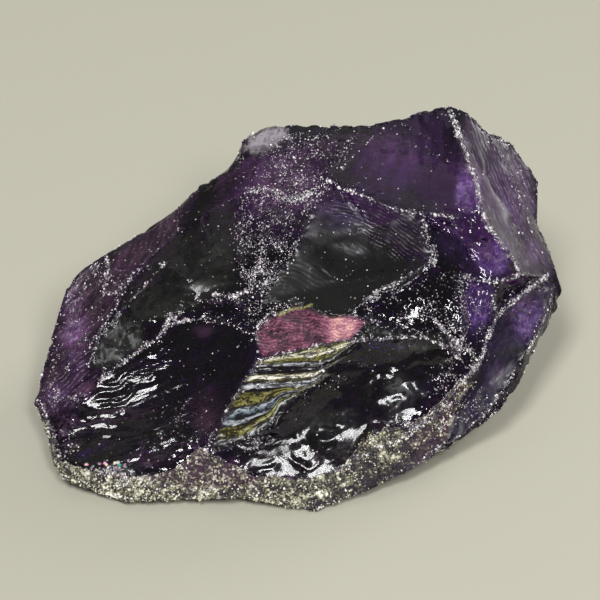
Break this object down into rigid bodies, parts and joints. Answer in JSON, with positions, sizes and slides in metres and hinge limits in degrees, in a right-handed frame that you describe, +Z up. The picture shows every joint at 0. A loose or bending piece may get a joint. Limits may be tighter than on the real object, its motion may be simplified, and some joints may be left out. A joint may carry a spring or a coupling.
{
  "type": "rough amethyst",
  "caption": "Rough violet quartz stone: one glassy chunk with shell-like scoops, sharp ridges and a sugary lower rim, lying on a small flat underside for display or as a setting prop",
  "frame": {"origin": "on the resting plane, under the middle of the stone's box", "axes": "X along the length, +Y from the low front rim to the high back, +Z up"},
  "size_m": [0.0258, 0.0198, 0.0113],
  "materials": {
    "violet_quartz": "glassy broken quartz, dark violet, sugary white at the rim and ridges"
  },
  "bodies": {
    "root": {"amethyst": "violet_quartz"}
  },
  "joints": []
}
